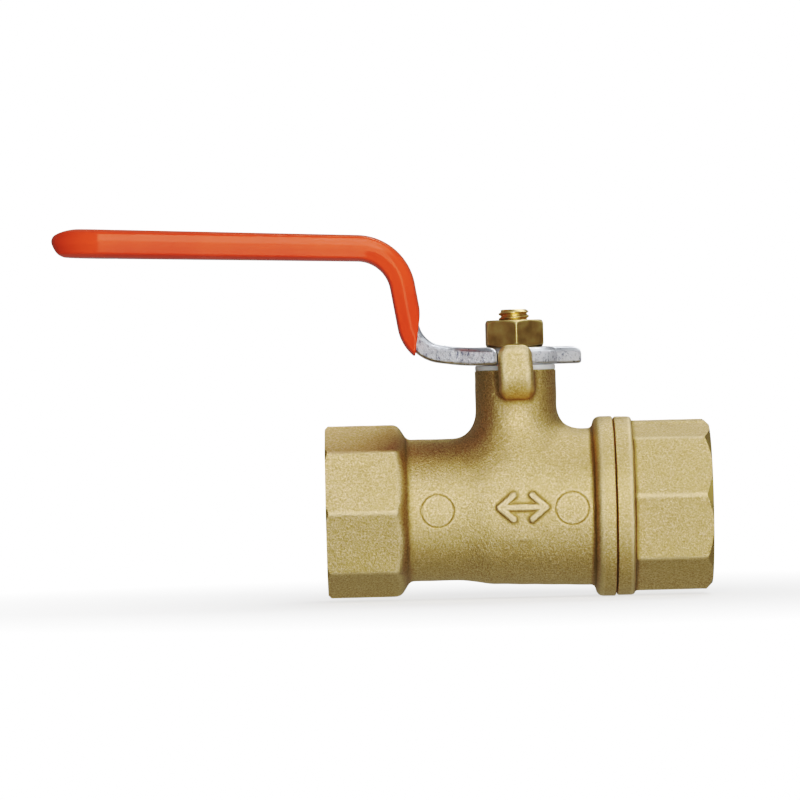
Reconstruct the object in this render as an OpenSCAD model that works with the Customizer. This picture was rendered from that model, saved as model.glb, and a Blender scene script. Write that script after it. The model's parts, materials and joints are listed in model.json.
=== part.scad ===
// Two-piece forged brass ball valve with a lever handle and G 1/2 female ends.
// The origin is the centre of the ball. +X is the flow axis towards the end cap and
// +Z is the stem axis. At rest the valve is open and its lever points along -X.
// Turning the lever a quarter turn clockwise, seen from above, closes it.

/* [Ends] */
// Distance from the ball's centre to each end face
end_x = 30.8; // [30:0.2:34]
// Size across the flats of both octagonal ends
octagon_af = 25.5; // [25:0.1:26]
// Diameter over the octagons' rounded corners
octagon_corner_d = 27.28; // [27:0.02:28]
// Angle at which the end cap's octagon stops when it is screwed home
cap_turn = 7; // [0:0.5:22.5]
// Minor diameter of the G 1/2 pipe thread
port_d = 18.631; // [18.5:0.001:18.8]
// Diameter of the lead-in chamfer at each mouth
mouth_d = 21.2; // [20.6:0.1:22]
// Depth of thread in the valve body's port
inlet_depth = 13; // [11:0.5:13]
// Depth of thread in the end cap's port
outlet_depth = 11.5; // [10:0.5:11.5]

/* [Valve body] */
// Diameter of the barrel beside the inlet octagon
barrel_d = 22.6; // [22.4:0.1:23.4]
// Diameter of the barrel where it swells round the ball
swell_d = 24; // [23.8:0.1:24.4]
// Diameter of the barrel beside the joint flange
shoulder_d = 25; // [24.6:0.1:25.4]
// Diameter of the valve body's joint flange
body_flange_d = 28.8; // [28:0.1:29.4]
// Distance from the ball's centre to the joint between valve body and end cap
seam_x = 15.4; // [15:0.1:16]
// Diameter of the stem neck
neck_d = 12.84; // [12.6:0.02:13]
// Height of the neck's top face above the flow axis
neck_top = 22.1; // [21.6:0.1:22.4]

/* [End cap] */
// Diameter of the end cap's flange
cap_flange_d = 28.56; // [28:0.02:29.4]
// Thickness of the end cap's flange
cap_flange_t = 2.8; // [2.4:0.1:3]
// Diameter of the nose that screws into the valve body
nose_d = 21.4; // [21.2:0.1:21.8]

/* [Ball and seats] */
// Diameter of the ball
ball_d = 19.5; // [19.3:0.1:19.6]
// Diameter of the waterway through the ball
ball_bore_d = 12.5; // [12:0.1:12.6]
// Inner diameter of both seat rings
seat_bore_d = 13.2; // [13:0.1:13.4]
// Outer diameter of both seat rings
seat_d = 19.9; // [19.6:0.1:19.9]
// Distance from the ball's centre to the back of each seat ring
seat_back_x = 9.6; // [9.4:0.1:9.8]

/* [Stem] */
// Diameter of the stem's shaft
shaft_d = 8; // [7.9:0.02:8]
// Outer diameter of the stem's M5 thread
stem_thread_d = 4.9; // [4.8:0.02:4.9]
// Height of the stem's top
stem_top = 31.9; // [31:0.1:33]
// Size across the flats of the lever nut
nut_af = 9; // [8:0.1:10]
// Height of the lever nut's top face
nut_top = 30.2; // [29:0.1:30.5]

/* [Lever] */
// Thickness of the lever's steel plate
plate_t = 2.8; // [2.4:0.1:3]
// Height of the lever's underside where it sits on the stem
plate_z = 23.05; // [23.05:0.05:23.4]
// Diameter of the lever's head
head_d = 22.8; // [22:0.2:24]
// Distance from the stem axis to the steel tip
lever_reach = 73.3; // [60:0.5:90]
// Width of the arm beside the bend
arm_w = 13; // [12:0.5:15]
// Width of the arm at its tip
tip_w = 14.5; // [13:0.5:16]
// Angle of the riser above the plate
riser_angle = 80.5; // [75:0.5:85]
// Rise of the arm towards its tip
arm_angle = 2.3; // [0:0.1:4]
// Thickness of the plastic sleeve on the riser
sleeve_t = 0.6; // [0.5:0.05:0.8]
// Thickness of the plastic sleeve near the tip
sleeve_tip_t = 0.88; // [0.8:0.02:1]

/* [Hidden] */
$fn = 96;

// Radial gap of a shaft or ball that turns in its seat
running_gap = 0.05;
// Gap between a moving piece and its stop
stop_gap = 0.3;
// Overlap that lets one cut run cleanly into the next
over = 0.01;

// Passages
mouth_depth = (mouth_d - port_d) / 2;
waterway_d = 14;
drill_cone = 1.2;
pocket_d = 20;
pocket_end_x = -5.5;
chamber_d = 20.6;
chamber_end_x = 8.2;
nose_end_x = 8.4;

// Outer shape of the ends
shoulder_x = 19;
edge_break = 0.4;
cap_edge_break = 0.9;
joint_break = 0.25;

// Neck, lug and stem stack
neck_flare_d = 17.2;
neck_flare_z = 11.2;
neck_straight_z = 15;
collar_pocket_d = 10.8;
collar_d = 10.2;
collar_z = 10;
washer_z = 11.15;
washer_top_z = 12.15;
slot_w = 4.2;
slot_z = 7.1;
tang_w = 4;
tang_l = 7;
tang_z = 7.4;
lug_w = 5.7;
lug_x = 0.1;
lug_z = 17.4;
lug_top = 26.15;
lug_front = 10;
lug_inner_r = 7.1;
o_ring_d = 1.1;
groove_d = 5.8;
groove_w = 1.5;
o_ring_heights = [14.6, 18.4];
neck_washer_top = 22.98;
dd_d = 6.8;
dd_flats = 4.9;
dd_gap = 0.05;
stem_shoulder_z = plate_z;
dd_top = plate_z + plate_t - 0.2;
nut_gap = 0.05;

// Path of the lever's middle plane in the XZ plane: the head is flat, then it lifts a
// little, bends up into the riser and bends back down into the arm
first_bend_x = -6;
lift_angle = 8;
lift_r = 30;
lift_straight = 1.8;
riser_bend_r = 5.6;
riser_length = 6.53;
arm_bend_r = 7.5;
steps = 10;
head_z = plate_z + plate_t / 2;
notch_r = 6.79;
notch_x = lug_x - lug_w / 2 - stop_gap;
notch_y = lug_x + lug_w / 2 + stop_gap;
sleeve_start_x = -15.6;
sleeve_start_z = 27.6;
sleeve_start_lean = 8;
nose_reach = 1;

// Direction of travel along the lever, towards -X, at an angle above the horizontal
function way(angle) = [-cos(angle), sin(angle)];
// Left-hand normal of that direction, which points up on the arm
function normal(angle) = [sin(angle), cos(angle)];
// Points of a bend that starts at p and turns from angle a to angle b with radius r;
// each is [x, z, angle]
function bend(p, a, b, r) = let(side = b > a ? 1 : -1, c = p + side * r * normal(a))
    [for (i = [0 : steps]) let(t = a + (b - a) * i / steps, q = c - side * r * normal(t))
        [q[0], q[1], t]];
function end_point(points) = [points[len(points) - 1][0], points[len(points) - 1][1]];

lift = bend([first_bend_x, head_z], 0, lift_angle, lift_r);
riser_bend = bend(end_point(lift) + lift_straight * way(lift_angle),
    lift_angle, riser_angle, riser_bend_r);
arm_bend = bend(end_point(riser_bend) + riser_length * way(riser_angle),
    riser_angle, arm_angle, arm_bend_r);
arm_start = end_point(arm_bend);
arm_length = (lever_reach + arm_start[0]) / cos(arm_angle);
arm_end = arm_start + arm_length * way(arm_angle);
lever_path = concat([[head_d, head_z, 0]], lift, riser_bend, arm_bend,
    [[arm_end[0], arm_end[1], arm_angle]]);

// Thickness of the sleeve at a point along the lever
function sleeve_at(x) = sleeve_t
    + (sleeve_tip_t - sleeve_t) * max(0, arm_start[0] - x) / (lever_reach + arm_start[0]);

// Pipes and bores lie along X, so these helpers turn a profile or a cylinder that way
module turned(points) {
    rotate([0, 90, 0])
        rotate_extrude()
            polygon([for (p = points) [p[1], p[0]]]);
}

module bore(x0, x1, d, d2 = undef) {
    translate([x0, 0, 0])
        rotate([0, 90, 0])
            cylinder(h = x1 - x0, d1 = d, d2 = is_undef(d2) ? d : d2);
}

function arc(cx, cy, r, a0, a1, n = 8) =
    [for (i = [0 : n]) let(a = a0 + (a1 - a0) * i / n) [cx + r * cos(a), cy + r * sin(a)]];

// Octagonal wrench end between two stations, with rounded corners. A positive turn
// raises the corner that faces -Y
module octagon_end(x0, x1, turn, profile) {
    intersection() {
        translate([x0, 0, 0])
            rotate([0, 90, 0])
                rotate([0, 0, -turn])
                    cylinder(h = x1 - x0, d = octagon_af / cos(180 / 8), $fn = 8);
        turned(profile);
    }
}

// Outer profile of the inlet end, from its face to the slope down to the barrel
function inlet_profile() = let(r = octagon_corner_d / 2)
    [[-end_x, 0], [-end_x, r - edge_break], [-end_x + edge_break, r], [-shoulder_x, r],
     [-shoulder_x + 1.5, barrel_d / 2 + 0.2], [-shoulder_x + 2.2, barrel_d / 2],
     [-shoulder_x + 2.2, 0]];

// Outer profile of the barrel and the joint flange
function barrel_profile() =
    let(swell_x0 = -9.5, swell_x1 = -4, r0 = barrel_d / 2, r1 = swell_d / 2,
        r2 = shoulder_d / 2, r3 = body_flange_d / 2, fillet_r = 1.1, round_r = 0.9)
    concat([[-shoulder_x + 1, 0], [-shoulder_x + 1, r0]],
        [for (i = [0 : 6]) let(t = i / 6)
            [swell_x0 + (swell_x1 - swell_x0) * t, r0 + (r1 - r0) * (1 - cos(180 * t)) / 2]],
        arc(seam_x - 4.1, r2 + fillet_r, fillet_r, -90, -10),
        arc(seam_x - 2.1, r3 - round_r, round_r, 180, 90),
        [[seam_x - joint_break, r3], [seam_x, r3 - joint_break], [seam_x, 0]]);

// Neck with its flare into the barrel
module neck() {
    cylinder(h = neck_top, d = neck_d);
    translate([0, 0, neck_flare_z])
        cylinder(h = neck_straight_z - neck_flare_z, d1 = neck_flare_d, d2 = neck_d);
}

// Stop lug on the front of the neck: a rounded bar that leans out at its foot
module stop_lug() {
    corner = 1.3;
    foot = 2.4;
    intersection() {
        translate([lug_x, 0, 0])
            rotate([90, 0, 0])
                linear_extrude(height = lug_front)
                    union() {
                        translate([-lug_w / 2, lug_z + foot])
                            square([lug_w, lug_top - lug_z - foot - corner]);
                        translate([-lug_w / 2 + corner, lug_z + foot])
                            square([lug_w - 2 * corner, lug_top - lug_z - foot]);
                        for (side = [-1, 1])
                            translate([side * (lug_w / 2 - corner), lug_top - corner])
                                circle(r = corner);
                        translate([0, lug_z + lug_w / 2])
                            circle(d = lug_w);
                    }
        translate([-lug_w, 0, 0])
            rotate([90, 0, 90])
                linear_extrude(height = 2 * lug_w)
                    polygon(concat([[0, lug_z], [-neck_d / 2 - 1, lug_z]],
                        arc(-lug_front + 2.6, lug_z + 3.6, 2.6, 250, 180),
                        arc(-lug_front + 0.9, lug_top - 0.9, 0.9, 180, 90),
                        [[0, lug_top]]));
    }
}

module valve_body() {
    color([0.69, 0.62, 0.41])
    difference() {
        union() {
            octagon_end(-end_x, -shoulder_x + 2.2, 0, inlet_profile());
            turned(barrel_profile());
            neck();
            stop_lug();
        }
        bore(-end_x - over, -end_x + mouth_depth, mouth_d, port_d);
        bore(-end_x, -end_x + inlet_depth, port_d);
        bore(-end_x + inlet_depth, -end_x + inlet_depth + drill_cone, port_d, waterway_d);
        bore(-end_x + inlet_depth, -seat_back_x + over, waterway_d);
        bore(-seat_back_x, pocket_end_x + over, pocket_d);
        bore(pocket_end_x, chamber_end_x + over, chamber_d);
        bore(chamber_end_x, seam_x + over, nose_d);
        cylinder(h = washer_top_z, d = collar_pocket_d);
        cylinder(h = neck_top + 1, d = shaft_d + 2 * running_gap);
        translate([0, 0, neck_top])
            cylinder(h = lug_top, r = lug_inner_r);
    }
}

// Outer profile of the end cap's flange and its slope down to the octagon
function cap_flange_profile() = let(r = cap_flange_d / 2, x1 = seam_x + cap_flange_t)
    [[seam_x, 0], [seam_x, r - joint_break], [seam_x + joint_break, r],
     [x1 - 0.5, r], [x1 - 0.1, r - 0.2], [x1 + 0.3, octagon_corner_d / 2 - 0.1], [x1 + 0.3, 0]];

// Outer profile of the outlet octagon, with the turned chamfer at its face
function outlet_profile() = let(r = octagon_corner_d / 2)
    [[seam_x + 1, 0], [seam_x + 1, r], [end_x - cap_edge_break, r],
     [end_x, r - cap_edge_break], [end_x, 0]];

module end_cap() {
    waterway_x = end_x - outlet_depth - drill_cone;
    color([0.69, 0.62, 0.41])
    difference() {
        union() {
            octagon_end(seam_x + 1, end_x, cap_turn, outlet_profile());
            turned(cap_flange_profile());
            bore(nose_end_x, seam_x + over, nose_d);
        }
        bore(nose_end_x - over, seat_back_x, seat_d);
        bore(seat_back_x - over, waterway_x + over, waterway_d);
        bore(waterway_x, end_x - outlet_depth, waterway_d, port_d);
        bore(end_x - outlet_depth - over, end_x, port_d);
        bore(end_x - mouth_depth, end_x + over, port_d, mouth_d);
    }
}

// Seat ring: its back rests in the housing and its face follows the ball
module seat_ring(side) {
    face_x = 5.3;
    difference() {
        turned([[side * face_x, seat_bore_d / 2], [side * face_x, seat_d / 2],
            [side * seat_back_x, seat_d / 2], [side * seat_back_x, seat_bore_d / 2]]);
        sphere(d = ball_d + 3 * running_gap);
    }
}

module seat_ring_inlet() {
    color("white") seat_ring(-1);
}

module seat_ring_outlet() {
    color("white") seat_ring(1);
}

module ball() {
    color([0.8, 0.81, 0.83])
    difference() {
        sphere(d = ball_d);
        bore(-ball_d, ball_d, ball_bore_d);
        translate([-slot_w / 2, -ball_d, slot_z])
            cube([slot_w, 2 * ball_d, ball_d]);
    }
}

// Round section with two flats, which carries the lever
module double_d(z0, z1, d, flats) {
    intersection() {
        translate([0, 0, z0])
            cylinder(h = z1 - z0, d = d);
        translate([-d, -flats / 2, z0])
            cube([2 * d, flats, z1 - z0]);
    }
}

module stem() {
    tip_break = 0.4;
    color([0.8, 0.66, 0.32])
    difference() {
        union() {
            translate([-tang_w / 2, -tang_l / 2, tang_z])
                cube([tang_w, tang_l, collar_z - tang_z + over]);
            translate([0, 0, collar_z])
                cylinder(h = washer_z - running_gap - collar_z, d = collar_d);
            translate([0, 0, collar_z])
                cylinder(h = stem_shoulder_z - collar_z, d = shaft_d);
            double_d(stem_shoulder_z - over, dd_top, dd_d, dd_flats);
            translate([0, 0, collar_z])
                cylinder(h = stem_top - tip_break - collar_z, d = stem_thread_d);
            translate([0, 0, stem_top - tip_break])
                cylinder(h = tip_break, d1 = stem_thread_d, d2 = stem_thread_d - 2 * tip_break);
        }
        for (z = o_ring_heights)
            translate([0, 0, z - groove_w / 2])
                difference() {
                    cylinder(h = groove_w, d = 2 * shaft_d);
                    cylinder(h = groove_w, d = groove_d);
                }
    }
}

module flat_ring(z0, z1, inner_d, outer_d) {
    difference() {
        translate([0, 0, z0])
            cylinder(h = z1 - z0, d = outer_d);
        cylinder(h = z1 + 1, d = inner_d);
    }
}

module thrust_washer() {
    color("ivory")
        flat_ring(washer_z, washer_top_z, shaft_d + 0.2, collar_pocket_d - 0.2);
}

module stem_o_ring(z) {
    color([0.1, 0.1, 0.1])
        translate([0, 0, z])
            rotate_extrude()
                translate([groove_d / 2 + o_ring_d / 2, 0])
                    circle(d = o_ring_d);
}

module stem_o_ring_lower() {
    stem_o_ring(o_ring_heights[0]);
}

module stem_o_ring_upper() {
    stem_o_ring(o_ring_heights[1]);
}

module neck_washer() {
    color([0.85, 0.85, 0.83])
        flat_ring(neck_top, neck_washer_top, shaft_d + 0.2, neck_d);
}

// Bent strip that follows the lever's path. The extra thickness on each face is grow
// times the sleeve's own, and reach is how far the strip runs past the steel tip
module bent_strip(width, grow, reach) {
    tip = arm_end + reach * way(arm_angle);
    path = concat([for (p = lever_path) if (p[0] > arm_end[0]) p],
        [[tip[0], tip[1], arm_angle]]);
    upper = [for (p = path) let(h = plate_t / 2 + grow * sleeve_at(p[0]))
        [p[0], p[1]] + h * normal(p[2])];
    lower = [for (i = [len(path) - 1 : -1 : 0])
        let(p = path[i], h = plate_t / 2 + grow * sleeve_at(p[0]))
        [p[0], p[1]] - h * normal(p[2])];
    translate([0, width / 2, 0])
        rotate([90, 0, 0])
            linear_extrude(height = width)
                polygon(concat(upper, lower));
}

// Upright prism over the arm's plan, grown sideways by side and past the tip by reach
module arm_prism(side, reach) {
    tip_r = tip_w / 2 + side;
    tip_x = -lever_reach - reach + tip_r;
    height = 2 * stem_top;
    linear_extrude(height = height)
        polygon([[0, -arm_w / 2 - side], [tip_x, -tip_r], [tip_x, tip_r], [0, arm_w / 2 + side]]);
    translate([tip_x, 0, 0])
        cylinder(h = height, r = tip_r);
}

// Quarter notch in the round head, which the stop lug sweeps through
module lug_notch() {
    difference() {
        translate([notch_x, notch_y - head_d, 0])
            cube([head_d, head_d, stem_top]);
        translate([0, 0, -over])
            cylinder(h = stem_top + 2 * over, r = notch_r);
    }
}

// Steel plate in its bent shape, before the hole for the stem
module lever_blank() {
    difference() {
        intersection() {
            bent_strip(2 * head_d, 0, 0);
            union() {
                cylinder(h = stem_top, d = head_d);
                arm_prism(0, 0);
            }
        }
        lug_notch();
    }
}

module lever() {
    color([0.75, 0.77, 0.8])
    difference() {
        lever_blank();
        double_d(plate_z - 1, plate_z + plate_t + 1, dd_d + 2 * dd_gap, dd_flats + 2 * dd_gap);
    }
}

module lever_sleeve() {
    reach = 2 * head_d;
    color([0.87, 0.35, 0.2])
    difference() {
        intersection() {
            bent_strip(reach, 1, nose_reach);
            arm_prism(sleeve_tip_t, nose_reach);
            translate([sleeve_start_x, 0, sleeve_start_z])
                rotate([0, sleeve_start_lean, 0])
                    translate([-2 * lever_reach, -reach, -reach])
                        cube([2 * lever_reach, 2 * reach, 2 * reach]);
        }
        lever_blank();
    }
}

module lever_nut() {
    nut_z = plate_z + plate_t;
    corner_d = nut_af / cos(30);
    chamfer = 0.35;
    color([0.55, 0.45, 0.2])
    difference() {
        intersection() {
            translate([0, 0, nut_z])
                rotate([0, 0, 33])
                    cylinder(h = nut_top - nut_z, d = corner_d, $fn = 6);
            rotate_extrude()
                polygon([[0, nut_z], [corner_d / 2 - chamfer, nut_z],
                    [corner_d / 2, nut_z + chamfer], [corner_d / 2, nut_top - chamfer],
                    [corner_d / 2 - chamfer, nut_top], [0, nut_top]]);
        }
        cylinder(h = stem_top, d = stem_thread_d + 2 * nut_gap);
    }
}

valve_body();
end_cap();
seat_ring_inlet();
seat_ring_outlet();
ball();
stem();
thrust_washer();
stem_o_ring_lower();
stem_o_ring_upper();
neck_washer();
lever();
lever_sleeve();
lever_nut();
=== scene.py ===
"""Looks of the ball valve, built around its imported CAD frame.

Shapes are worked out in millimetres in the part's own frame: X is the flow axis, Z the
stem axis, and the lever points along -X. Forged and moulded pieces are distance fields
turned into meshes; turned pieces and threads are lathe profiles.
"""

import json
import math

import bpy
import numpy as np
from mathutils import Matrix, Vector


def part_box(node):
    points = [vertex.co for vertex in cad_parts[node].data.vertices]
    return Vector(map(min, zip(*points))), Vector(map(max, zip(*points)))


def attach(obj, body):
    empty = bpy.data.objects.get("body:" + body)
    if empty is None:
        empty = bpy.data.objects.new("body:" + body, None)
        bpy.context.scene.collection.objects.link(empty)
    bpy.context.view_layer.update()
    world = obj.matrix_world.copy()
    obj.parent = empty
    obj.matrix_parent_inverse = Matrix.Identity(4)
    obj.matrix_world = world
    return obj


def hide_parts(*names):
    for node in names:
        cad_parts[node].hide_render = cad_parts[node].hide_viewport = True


MM = 0.001
TAU = 2 * math.pi
LIGHT_TARGET = Vector((-0.010, 0, 0.008))

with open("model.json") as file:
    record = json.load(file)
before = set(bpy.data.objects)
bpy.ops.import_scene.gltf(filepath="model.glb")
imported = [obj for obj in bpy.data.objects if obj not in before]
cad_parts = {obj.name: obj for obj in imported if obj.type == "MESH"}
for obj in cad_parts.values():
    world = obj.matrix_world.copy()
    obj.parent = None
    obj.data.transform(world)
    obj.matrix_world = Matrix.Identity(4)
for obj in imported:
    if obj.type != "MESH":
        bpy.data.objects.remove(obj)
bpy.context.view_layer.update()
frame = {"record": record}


def node_box(node):
    """Lowest and highest corner of a CAD node, in millimetres."""
    low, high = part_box(node)
    return [c / MM for c in low], [c / MM for c in high]


# Sizes that the frame states
BODY_LOW, BODY_HIGH = node_box("valve_body")
_, CAP_HIGH = node_box("end_cap")
_, BALL_HIGH = node_box("ball")
STEM_LOW, STEM_HIGH = node_box("stem")
WASHER_LOW, WASHER_HIGH = node_box("neck_washer")
NUT_LOW, NUT_HIGH = node_box("lever_nut")
LEVER_LOW, LEVER_HIGH = node_box("lever")
MOUNTS = {m["name"]: m for m in frame["record"]["mounts"]}

INLET_X = BODY_LOW[0]
OUTLET_X = CAP_HIGH[0]
SEAM_X = BODY_HIGH[0]
FLANGE_R = BODY_HIGH[1]
CAP_FLANGE_R = CAP_HIGH[1]
NECK_R = WASHER_HIGH[0]
NECK_TOP = WASHER_LOW[2]
LUG_TOP = BODY_HIGH[2]
PORT_R = MOUNTS["inlet_port"]["dims"]["r_mm"]
BALL_BORE_R = MOUNTS["waterway"]["dims"]["r_mm"]
BALL_R = BALL_HIGH[1]

# Forged shape; the stocks are what machining takes off again
OCTAGON_AF = 25.5
CORNER_R = 1.0
END_CORNER_R = 13.72
EDGE_BREAK = 0.4
CAP_EDGE_BREAK = 1.0
JOINT_BREAK = 0.16
JOINT_GAP = 0.1
JOINT_DEPTH = 0.7
CAP_TURN = math.radians(7)
BARREL_R = 11.3
SWELL_R = 12.03
SWELL_START_X, SWELL_END_X = -10, -3.5
SHOULDER_R = 12.5
SHOULDER_X = 11.0
OCTAGON_BACK = (-18.2, 12.1)
FLANGE_BACK = (12.2, 13.4)
CAP_FLANGE_END_X = 18.35
NECK_FILLET, NECK_FILLET_GROWTH = 4.3, 2.2
LUG_FRONT = -10.8
LUG_FOOT = 17.4
LUG_X = 0.04
LUG_HALF = 2.82
LUG_TAPER = 0.1
LUG_LEAN = 0.16
LUG_CORNER_R = 1.8
RING_MARKS = (-13.05, 8.35)
RING_MARK_R = 2.63
RING_MARK_DEPTH = 0.13
FLOW_MARK_HEIGHT = 0.34
FLOW_MARK_X, FLOW_MARK_Z = 0.5, 0.3
END_STOCK, JOINT_STOCK, NOSE_STOCK = 0.8, 0.6, 0.4

# Passages inside; CUT_R is the reach of cutters, past any outside
CUT_R = 18.0
MOUTH_R = 10.6
INLET_DEPTH = 13.0
OUTLET_DEPTH = 11.5
DRILL_CONE = 1.2
WATERWAY_R = 7.0
POCKET_R = 10.0
POCKET_END_X = -5.5
CHAMBER_R = 10.3
CHAMBER_END_X = 8.2
NOSE_R = 10.7
NOSE_END_X = 8.4
SEAT_BACK_X = 9.6
SEAT_FACE_X = 5.3
SEAT_R = 9.95
SEAT_BORE_R = 6.6
SLOT_HALF = 2.1
SLOT_Z = 7.1
COLLAR_POCKET_R = 5.4
COLLAR_R = 5.1
COLLAR_Z = 10.0
WASHER_SEAT_Z = 12.15
SHAFT_R = 4.0
RUNNING_GAP = 0.05
LUG_INNER_R = 7.1
DD_R = 3.4
DD_HALF = 2.45
DD_TOP = 25.65
TANG_HALF = 2.0
TANG_REACH = 3.5

# Threads
PIPE_PITCH = 25.4 / 14
PIPE_DEPTH = 1.16
STEM_PITCH = 0.8
STEM_DEPTH = 0.38
STEM_THREAD_R = 2.45
NUT_AF = 9.0
NUT_TURN = math.radians(33)

# Lever path: head, lift, riser, arm, as (length or radius, angle reached in degrees)
PLATE_Z = LEVER_LOW[2]
PLATE_T = 2.8
HEAD_R = LEVER_HIGH[1]
NOTCH_R = 6.79
NOTCH_X = -3.05
NOTCH_Y = 3.25
ARM_HALF = 6.5
TIP_HALF = 7.25
LIFT_START = 6.0
LIFT_R, LIFT_ANGLE = 30.0, 8.0
LIFT_STRAIGHT = 1.8
RISER_BEND_R, RISER_ANGLE = 5.6, 80.5
RISER_LENGTH = 6.53
ARM_BEND_R, ARM_ANGLE = 7.5, 2.3
TOP_ROLL, HEAD_TOP_ROLL, BOTTOM_ROLL = 0.6, 0.8, 0.5
SLEEVE_T, SLEEVE_TIP_T = 0.6, 0.88
SLEEVE_THICKENS_X = -21.6
SLEEVE_NOSE = 1.0
LEAST_SKIN = 0.36
TIP_ROUND = 0.45
SLEEVE_REACH = 60.0
SLEEVE_START = (-15.6, 27.6)
SLEEVE_LEAN = math.radians(8)


# ---------------------------------------------------------------- distance fields

def soft_union(a, b, size):
    """Union of two fields with a fillet that reaches about size along each."""
    blend = np.maximum(size - np.abs(a - b), 0) / size
    return np.minimum(a, b) - blend * blend * size / 4


def soft_common(a, b, size):
    """Intersection of two fields with its edge rounded."""
    return -soft_union(-a, -b, size)


def smooth(x, x0, x1):
    """0 before x0, 1 after x1, and an S-curve between."""
    t = np.clip((x - x0) / (x1 - x0), 0, 1)
    return t * t * (3 - 2 * t)


def polygon_field(u, v, sides, across_flats, turn, corner):
    """Regular polygon with a corner at angle turn and corners rounded to a radius."""
    sector = TAU / sides
    angle = np.arctan2(v, u) - turn - sector / 2
    angle = angle - sector * np.round(angle / sector)
    radius = np.hypot(u, v)
    apothem = across_flats / 2 - corner
    half_side = apothem * math.tan(sector / 2)
    out = radius * np.cos(angle) - apothem
    along = np.maximum(np.abs(radius * np.sin(angle)) - half_side, 0)
    return np.where(out > 0, np.hypot(np.maximum(out, 0), along), out) - corner


def rounded_box(u, v, half_u, half_v, corner):
    """Rectangle with rounded corners."""
    du = np.abs(u) - half_u + corner
    dv = np.abs(v) - half_v + corner
    outside = np.hypot(np.maximum(du, 0), np.maximum(dv, 0))
    return outside + np.minimum(np.maximum(du, dv), 0) - corner


def segment_field(u, v, a, b, half_width):
    """Bar with round ends between the points a and b."""
    du, dv = b[0] - a[0], b[1] - a[1]
    t = np.clip(((u - a[0]) * du + (v - a[1]) * dv) / (du * du + dv * dv), 0, 1)
    return np.hypot(u - a[0] - t * du, v - a[1] - t * dv) - half_width


def slant(u, v, point, normal):
    """Half plane bounded by a line through a point, with an outward normal."""
    return normal[0] * (u - point[0]) + normal[1] * (v - point[1])


def grid_lines(low, high, step, bands=()):
    """Lines a step apart from low to past high, closer inside each (low, high, step)."""
    lines = [low]
    while lines[-1] < high:
        here = lines[-1]
        lines.append(here + min([step] + [s for a, b, s in bands if a <= here < b]))
    return np.array(lines)


def gradient(field, points, reach=0.02):
    """Slope of a field at each point."""
    slopes = []
    for axis in range(3):
        shift = np.zeros(3)
        shift[axis] = reach
        ahead = field(*(points + shift).T)
        behind = field(*(points - shift).T)
        slopes.append((ahead - behind) / (2 * reach))
    return np.stack(slopes, 1)


def surface_net(field, xs, ys, zs):
    """Quad mesh of the surface where a field is zero, on a grid of lines."""
    lines = (xs, ys, zs)
    values = field(*np.meshgrid(xs, ys, zs, indexing="ij"))
    inside = values < 0
    cells = tuple(len(line) - 1 for line in lines)
    total = np.zeros(cells + (3,))
    count = np.zeros(cells, int)
    rims = []
    for axis in range(3):
        low = tuple(slice(0, -1) if k == axis else slice(None) for k in range(3))
        high = tuple(slice(1, None) if k == axis else slice(None) for k in range(3))
        where = np.argwhere(inside[low] != inside[high])
        a = values[low][tuple(where.T)]
        b = values[high][tuple(where.T)]
        point = np.stack([lines[k][where[:, k]] for k in range(3)], 1)
        length = lines[axis][where[:, axis] + 1] - lines[axis][where[:, axis]]
        point[:, axis] += a / (a - b) * length
        side, up = (axis + 1) % 3, (axis + 2) % 3
        ring = []
        for back_side, back_up in ((1, 1), (0, 1), (0, 0), (1, 0)):
            cell = where.copy()
            cell[:, side] -= back_side
            cell[:, up] -= back_up
            np.add.at(total, tuple(cell.T), point)
            np.add.at(count, tuple(cell.T), 1)
            ring.append(cell)
        rims.append((np.stack(ring, 1), a < 0))
    used = count > 0
    number = np.full(cells, -1)
    number[used] = np.arange(used.sum())
    vertices = total[used] / count[used][:, None]
    quads = []
    for ring, outward in rims:
        quad = number[tuple(ring.reshape(-1, 3).T)].reshape(-1, 4)
        quads.append(np.where(outward[:, None], quad, quad[:, ::-1]))
    for _ in range(4):
        slope = gradient(field, vertices)
        step = field(*vertices.T) / np.maximum((slope ** 2).sum(1), 0.05)
        vertices = vertices - slope * np.clip(step, -0.2, 0.2)[:, None]
    return vertices, np.concatenate(quads)


def bend_of(field, points, reach=0.45):
    """How sharply the surface turns at each point: above 0 on edges, below in hollows."""
    total = -6 * field(*points.T)
    for axis in range(3):
        for way in (-reach, reach):
            shift = np.zeros(3)
            shift[axis] = way
            total = total + field(*(points + shift).T)
    return total / reach ** 2


# ---------------------------------------------------------------- meshes

def make_object(name, vertices, faces, materials, marks=None, material_index=0):
    """Mesh object from points in millimetres; marks are named numbers per vertex."""
    mesh = bpy.data.meshes.new(name)
    mesh.from_pydata((np.asarray(vertices) * MM).tolist(), [], [list(f) for f in faces])
    for material in materials:
        mesh.materials.append(material)
    for mark, values in (marks or {}).items():
        layer = mesh.attributes.new(mark, "FLOAT", "POINT")
        layer.data.foreach_set("value", np.asarray(values, np.float32))
    mesh.polygons.foreach_set("material_index", [material_index] * len(mesh.polygons))
    mesh.update()
    obj = bpy.data.objects.new(name, mesh)
    bpy.context.scene.collection.objects.link(obj)
    return obj


def field_object(name, field, xs, ys, zs, materials):
    """Object whose surface is a field's zero, with its edges and hollows marked."""
    vertices, quads = surface_net(field, xs, ys, zs)
    return make_object(name, vertices, quads, materials, {"turn": bend_of(field, vertices)})


def tooth(phase):
    """Thread profile from 0 at the root to 1 at the crest, once per whole phase."""
    ramp = 2 * np.abs(phase - np.floor(phase) - 0.5)
    return smooth(ramp, 0.08, 0.92)


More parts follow.
